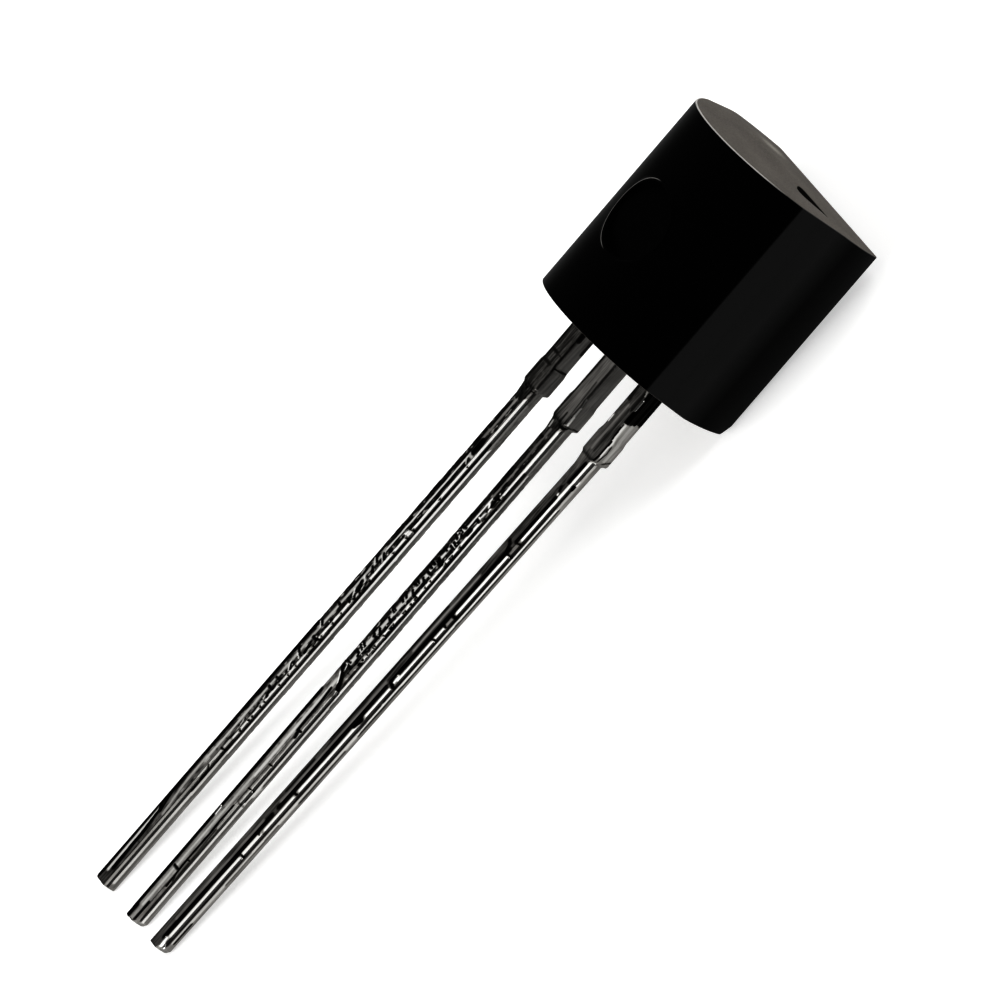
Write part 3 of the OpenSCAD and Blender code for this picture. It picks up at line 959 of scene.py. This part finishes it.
# the tones of these lines: bright ones are painted glints, dark ones painted shade
EMITTER_LINES = [
    (0.08, -1, 0.85, 1.9, 2.35), (0.08, -1, 0.88, 2.75, 3.85), (0.1, -1, 0.84, 4.05, 7.4),
    (0.1, -1, 0.8, 7.55, 10.6), (0.1, -1, 0.8, 10.8, 13.9), (0.09, 0.9, 1.35, 1.85, 2.9),
    (0.085, 1.1, 1.35, 2.95, 3.75), (0.08, 1.1, 1.35, 4.2, 5.6), (0.07, 1.1, 1.4, 6, 7.3),
    (0.07, 1, 1.35, 7.55, 8.2), (0.09, 0.9, 1.4, 8.45, 10.1), (0.09, 0.85, 1.45, 10.3, 11.1),
    (0.105, 0.8, 1.35, 11.25, 11.7), (0.115, 0.75, 1.45, 11.85, 13.8), (0.055, -0.4, 1.9, 2.35, 5.75),
    (0.04, -0.45, 1.9, 5.75, 7.8), (0.05, -0.3, 1.95, 7.9, 12.4), (0.05, -0.4, 2, 12.4, 14),
    (0.07, 0.3, 2.22, 1.85, 2.9), (0.07, 0.9, 2.32, 2.9, 5.35), (0.085, 0.75, 2.3, 5.35, 8.6),
    (0.095, 0.5, 2.3, 8.6, 11.6), (0.085, 0.45, 2.32, 11.6, 13.9), (0.045, -0.5, 2.5, 2.9, 8.6),
    (0.04, -0.4, 2.6, 9, 10.3), (0.05, -0.2, 2.5, 10.9, 12.4), (0.04, -0.7, 2.6, 13.4, 13.9),
    (0.06, 0.3, 0.42, 4.8, 6.7), (0.06, -0.5, 0.12, 5.65, 9), (0.08, 0.25, 0.52, 7.5, 10.5),
    (0.05, -0.6, 0.25, 9.5, 10.3), (0.08, 0.2, 0.52, 11, 13.5)]

EMITTER_NICKS = [
    (0.09, -0.6, 0.05, 0.15, 0.15, 0.45), (0.09, -0.5, 0.8, 0.2, 0.8, 0.55),
    (0.06, 0.35, 0.8, 0.1, 0.9, 0.2), (0.04, 1, 1.3, 0.3, 1.3, 0.52), (0.06, -0.2, 0.65, 0.6, 0.65, 1.6),
    (0.07, 0.2, 0.4, 0.55, 0.4, 1.6),
    # black on the corner and down the side, from the body to a depth of about 0.75
    (0.13, -1, 1.95, 0, 1.95, 0.78), (0.12, -0.85, 2.25, 0, 2.25, 0.76), (0.13, -1, 2.5, 0, 2.5, 0.73),
    (0.11, -1, 2.8, 0, 2.8, 0.7),
    # bright torn metal below it
    # bright streaks below it on the corner and the side, painted reflection of the floor, and a painted
    # glint on the base side's edge
    (0.1, 0.6, 1.75, 0.87, 1.95, 1.15, 2.05, 1.35), (0.09, 0.6, 2, 1.37, 1.95, 1.55, 1.75, 1.8),
    (0.1, 0.2, 2.5, 0.83, 2.5, 1.65), (0.08, 0.1, 2.72, 0.77, 2.72, 1.55),
    (0.04, -0.8, 1.8, 1.25, 1.7, 1.55, 1.25, 1.75), (0.03, -0.7, 2.2, 1.35, 2.25, 1.5, 2.1, 1.7),
    (0.06, -0.5, 1.5, 0.95, 1.75, 1.2), (0.03, -0.6, 2.1, 1.78, 2.5, 1.7, 2.95, 1.6),
    (0.04, 0.9, 0.02, 0.88, 0.02, 1.03),
    # flecks under the shoulder, and the cracks that break the painted glint along the corner
    (0.075, 1.2, 1.85, 2.26, 1.88, 2.32), (0.07, -1, 1.85, 2.37, 1.88, 2.43),
    (0.055, 1, 0.8, 2.65, 0.85, 2.68), (0.06, -0.9, 0.6, 2.53, 0.75, 2.6),
    (0.07, -1, 0.3, 3.93, 0.55, 3.97, 0.75, 4.1), (0.045, -1, 0.95, 3.87, 1.5, 3.86),
    (0.045, -1, 0.95, 4.15, 1.9, 4.15), (0.08, -1, 0.9, 5.7, 1.45, 5.7), (0.055, -1, 0.9, 5.93, 1.4, 5.96),
    (0.055, -1, 0.9, 6.3, 1.45, 6.27), (0.08, 1, 1, 7.25, 1.15, 7.37),
    (0.08, -1, 0.8, 7.38, 1.1, 7.43, 1.4, 7.47), (0.1, -1, 0.95, 8.3, 1.2, 8.33, 1, 8.5),
    (0.05, -1, 0.95, 10.2, 1.4, 10.2), (0.05, -0.6, 0.9, 11.2, 1.2, 11.25),
    # the last two marks here are a painted glint at the tip
    (0.045, -1, 0.9, 11.75, 1.7, 11.77), (0.08, 1, 1.1, 13.9, 1.3, 14.1), (0.05, 1, 1.35, 14, 1.8, 14.1)]

# Each lead: where it stands, its length, its lean to the base side, if its tip is snipped,
# its head, the seed of its scratches, and its upper corner on the emitter side. Its wear is
# depth below the body, dullness of the sheared side, partly painted shade, darkness of the
# upper face, which is painted shade, and painted light where it is below 0, and cracking of
# the plating. Its crazed plating has a first and a last depth and a number of cracks.
LEADS = {
    "base_lead": dict(
        x=-PITCH + 0.02, length=LEAD_LEN, lean=0.1, snipped=False, head=POST, seed=3,
        corner=[(0.145, 0.16), (0.157, 0.085), (0.19, 0.045)],
        wear=[(0, 1, 0.5, 0.1), (1.7, 1, 0.5, 0.1), (1.9, 0.8, 0.7, 0.5), (2.6, 0.7, 1, 0.8),
              (6.5, 0.6, 0.9, 1), (8, 0.6, 0.6, 1), (10.8, 0.5, 0.2, 0.6), (14.3, 0.5, 0.5, 0.1)],
        lines=BASE_LINES, nicks=BASE_NICKS, crazed=(5.7, 10.4, 26)),
    "collector_lead": dict(
        x=0.025, length=LEAD_LEN - 0.04, lean=0.03, snipped=True, head=PADDLE, seed=11,
        corner=[(0.145, 0.16), (0.158, 0.07), (0.19, 0.035)],
        wear=[(0, 1, 0.25, 0), (1.6, 0.95, 0.25, 0), (1.9, 0.8, 0.6, 0.4), (3.6, 0.8, 0.9, 0.8),
              (4, 0.8, 0.9, 1), (7.6, 0.6, 0.8, 1), (8.4, 0.5, 0, 0.4), (14.3, 0.4, -0.2, 0.1)],
        lines=COLLECTOR_LINES, nicks=COLLECTOR_NICKS, crazed=(4.4, 7.9, 48)),
    "emitter_lead": dict(
        x=PITCH + 0.015, length=LEAD_LEN - 0.1, lean=0.3, snipped=True, head=POST, seed=23,
        corner=[(0.135, 0.16), (0.149, 0.08), (0.19, 0.04)],
        wear=[(0, 0.5, 0.45, 0.1), (1.7, 0.35, 0.45, 0.05), (2, 0.3, 0.45, 0.1), (5, 0.3, 0.5, 0),
              (14.3, 0.3, 0.45, 0)],
        lines=EMITTER_LINES, nicks=EMITTER_NICKS, crazed=None),
}


def make_lead(name, tree, tin, x, length, lean, snipped, head, seed, corner, wear, lines, nicks,
              crazed):
    """A lead's piece, grown by the rule from its stations, its sections and its marks."""
    rows = stations(length, lean, snipped, head, wear)
    spine = points_object(name + "_stations", [(row.shift, 0, row.z) for row in rows],
                          [(i, i + 1) for i in range(len(rows) - 1)],
                          {key: [getattr(row, key) for row in rows] for key in Station._fields[2:]},
                          "POINT")
    rng = random.Random(seed)
    drawn = long_lines(rng, lines)
    cracks = crazing(rng, *crazed) if crazed else []
    helpers = {"Stamped Section": points_object(name + "_stamped", stamped_section()),
               "Coined Section": points_object(name + "_coined", coined_section(corner)),
               "Drawn Lines And Glints": marks_object(name + "_lines", rows, corner, drawn),
               "Nicks": marks_object(name + "_nicks", rows, corner, cracks + nicks)}
    rule = spine.modifiers.new("Lead", "NODES")
    rule.node_group = tree
    values = {**helpers, "Seed": seed, "Material": tin}
    for item in tree.interface.items_tree:
        if item.name in values:
            rule[item.identifier] = values[item.name]
    bpy.context.view_layer.update()
    graph = bpy.context.evaluated_depsgraph_get()
    mesh = bpy.data.meshes.new_from_object(spine.evaluated_get(graph))
    for helper in (spine, *helpers.values()):
        bpy.data.objects.remove(helper)
    # from the lead's own frame, where the section's Y is up, to the upright frame
    mesh.transform(Matrix(((1, 0, 0, x), (0, -1, 0, LEAD_Y), (0, 0, 1, 0), (0, 0, 0, 1))))
    bm = bmesh.new()
    bm.from_mesh(mesh)
    bmesh.ops.recalc_face_normals(bm, faces=bm.faces)
    bm.to_mesh(mesh)
    bm.free()
    return piece(name + "_strip", mesh)


# ------------------------ materials

def moulded_epoxy():
    """Black epoxy moulding compound. The mould is spark-eroded, so the faces are satin with
    a fine grain. The two faces across the part are the mattest, and their brown-grey colour
    is painted light, standing in for the lamps' light on them."""
    mat, tree = material("Black epoxy moulding compound, spark-eroded satin")
    spot = in_mm(tree)
    rub_and_highlight, torn, matte, wall_sheen = attributes(tree, "rub_and_highlight", "torn", "matte", "wall_sheen")
    # real grain is 0.01 to 0.02 mm; it is drawn twice as coarse, so that it can be seen
    grain = stretched(spot, 1, 1, 1, 26.0, 3.0)
    cloud = stretched(spot, 1, 1, 1, 1.3)
    level = grain * 0.7 + cloud * 0.3
    satin = ramp(level, (0.3, "#020202"), (0.7, "#050505"))
    # painted light: the brown-grey of the faces across the part stands in for the lamps' light on them
    matte_lit_grey = ramp(level, (0.3, "#5a5753"), (0.7, "#74706b"))
    # the grey on the walls is painted reflection of the floor
    colour = mixed(matte, mixed(wall_sheen, satin, "#373737"), matte_lit_grey)
    # a light scuff on the end face, beside the corner with the flat
    from_scuff = vector("DISTANCE", spot, SCUFF_AT, out="Value")
    scuff = ranged(from_scuff + grain * 0.7, 0.35, 0.75, 0.4, 0.0)
    colour = mixed(scuff * matte, colour, "#b9b6b0")
    # the rims' rubbing: glossier, and lightened to pale grey as a painted highlight
    colour = mixed(rub_and_highlight, colour, "#c4c2bf")
    bump = add(tree, "ShaderNodeBump",
               {"Height": grain, "Strength": 0.25, "Distance": 0.002 * MM})
    return shaded(mat, {
        "Base Color": mixed(torn, colour, "#2b2928"),
        "Roughness": level * 0.12 + matte * 0.2 + 0.46 - rub_and_highlight * 0.15 + torn * 0.3,
        "IOR": 1.55, "Specular IOR Level": 0.06, "Normal": bump})


def tinned_strip():
    """Copper alloy strip, tin plated before it was stamped: bright tin where it is
    burnished, black where the plating is cracked, dull brown-grey on the sheared sides. The
    bright and black lines along the lead are painted glints and painted shade."""
    mat, tree = material("Tin-plated copper alloy strip, stamped and coined")
    spot = in_mm(tree)
    tone, torn, dark = attributes(tree, "tone", "torn", "dark")
    # drawing lines of about 0.03 mm, long along the lead, over longer patches
    streaks = stretched(spot, 0.03, 1, 1, 24.0)
    patches = stretched(spot, 0.4, 1, 1, 3.0)
    # dark: painted shade on the upper face
    level = streaks * 0.3 + patches * 0.2 + 0.25 - dark * 0.4
    level = level * (1.0 - calc("ABSOLUTE", tone)) + calc("MAXIMUM", tone)
    tinned = ramp(level, (0.0, "#0a0909"), (0.25, "#3c3b39"), (0.5, "#8e8c89"),
                  (0.75, "#cfcecb"), (1.0, "#f7f6f4"))
    sheared = ramp(level, (0.0, "#0a0909"), (0.3, "#3b3a39"), (0.6, "#7a7977"), (1.0, "#f2f1ef"))
    # torn: the sheared sides' own dull colour, with painted shade that differs by lead and depth
    return shaded(mat, {"Base Color": mixed(torn, tinned, sheared), "Metallic": 1.0,
                        "Roughness": torn * 0.2 + ranged(level, 0.0, 1.0, 0.4, 0.2)})


def polished_silicon():
    """A diffused silicon die: dark and glassy, with the faint mottle of its lapped back."""
    mat, tree = material("Polished silicon, diffused and lapped")
    mottle = stretched(in_mm(tree), 1, 1, 1, 30.0)
    return shaded(mat, {"Base Color": ramp(mottle, (0.3, "#3d424b"), (0.7, "#565b64")),
                        "Roughness": ranged(mottle, 0.3, 0.7, 0.1, 0.22), "IOR": 1.9})


def bond_layer():
    """Silver-filled epoxy under the die: grey, with bright flakes of 0.02 mm in it."""
    mat, tree = material("Silver-filled epoxy bond, oven cured")
    flakes = stretched(in_mm(tree), 1, 1, 1, 50.0)
    grey = ramp(flakes, (0.35, "#8a8883"), (0.55, "#b3b2ae"), (0.65, "#e4e4e2"))
    return shaded(mat, {"Base Color": grey, "Metallic": ranged(flakes, 0.5, 0.65, 0.0, 0.9),
                        "Roughness": ranged(flakes, 0.4, 0.65, 0.6, 0.3)})


def drawn_gold():
    """Gold bond wire: a smooth yellow metal with the fine lines of its drawing die."""
    mat, tree = material("Gold wire, drawn and annealed")
    lines = stretched(in_mm(tree), 1, 1, 0.2, 120.0)
    return shaded(mat, {"Base Color": ramp(lines, (0.3, "#d9ae4c"), (0.7, "#efcb74")),
                        "Roughness": ranged(lines, 0.3, 0.7, 0.12, 0.25), "Metallic": 1.0})


# ------------------------ the pieces

body = piece("moulded_body", moulding())
body.data.materials.append(moulded_epoxy())
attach(body, "root")
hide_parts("body")

tin = tinned_strip()
tree = lead_tree()
for node_name in LEADS:
    lead = make_lead(node_name, tree, tin, **LEADS[node_name])
    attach(lead, "root")
    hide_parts(node_name)

gold = drawn_gold()
for node_name, mat in (("die", polished_silicon()), ("die_attach", bond_layer()),
                       ("base_bond_wire", gold), ("emitter_bond_wire", gold)):
    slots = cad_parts[node_name].data.materials
    slots.clear()
    slots.append(mat)

# ------------------------ the studio

# The table and the lamps, in metres and watts
TABLE_SIZE = 2.0
LAMP_SIZE, LAMP_POWER, LAMP_AT = 0.35, 1.0, (0.42, 0, 0.27)
# The camera, in millimetres of the shared frame
CAMERA_AT, AIM_AT, ROLL_DEG = (24.2252, -165.272, 149.812), (1.03, 1.15, 0), 50.902
LENS, SENSOR = 432, 36
CARD_TOWARDS = (0, 0.74, 0.67)      # the direction of the dim card


def opal_panel():
    """A pale acrylic panel with a little light behind it, as under a product shot."""
    mat, tree = material("Backlit opal panel")
    near = vector("LENGTH", in_mm(tree), out="Value")
    return shaded(mat, {"Base Color": linear("#e6e6e5"), "Roughness": 0.7,
                        "Emission Color": (1, 1, 1, 1),
                        "Emission Strength": ranged(near, 25.0, 70.0, 0.34, 0.0)})


def add_camera():
    """A long lens, aimed at the floor under the part, and rolled."""
    camera = placed("camera", bpy.data.cameras.new("camera"))
    ahead = (Vector(AIM_AT) - Vector(CAMERA_AT)).to_track_quat("-Z", "Y").to_matrix()
    camera.matrix_world = (Matrix.Translation(Vector(CAMERA_AT) * MM)
                           @ (ahead @ Matrix.Rotation(radians(-ROLL_DEG), 3, "Z")).to_4x4())
    camera.data.sensor_width = SENSOR
    camera.data.lens = LENS
    camera.data.clip_start = 0.001
    bpy.context.scene.camera = camera


def add_softbox(side):
    """A square lamp beside the part, turned towards it."""
    lamp = bpy.data.lights.new("softbox", "AREA")
    lamp.shape = "RECTANGLE"
    lamp.size = lamp.size_y = LAMP_SIZE
    lamp.energy = LAMP_POWER
    box = placed("softbox", lamp)
    box.location = (side * LAMP_AT[0], *LAMP_AT[1:])
    box.rotation_mode = "QUATERNION"
    box.rotation_quaternion = (-box.location).to_track_quat("-Z", "Y")


def add_room():
    """A dark room, a little lighter near the horizon, with a large dim card behind the
    part, which the upper faces of the leads reflect."""
    world = bpy.data.worlds.new("studio")
    world.use_nodes = True
    bpy.context.scene.world = world
    sky = world.node_tree
    towards = add(sky, "ShaderNodeTexCoord", out="Generated")
    height = add(sky, "ShaderNodeSeparateXYZ", {0: towards}, "Z")
    card = vector("DOT_PRODUCT", towards, CARD_TOWARDS, out="Value")
    glow = ranged(height, 0.0, 0.2, 0.3, 0.06) + ranged(card, 0.85, 0.97, 0.0, 0.6)
    plug(sky.nodes["Background"], {"Strength": glow, "Color": (1, 1, 1, 1)})


bpy.ops.mesh.primitive_plane_add(size=TABLE_SIZE)
table = bpy.context.object
table.name = "table"
table.data.materials.append(opal_panel())
add_camera()
for side in (-1, 1):
    add_softbox(side)
add_room()

bpy.context.scene.view_settings.view_transform = "Standard"
bpy.context.scene.view_settings.look = "Very High Contrast"
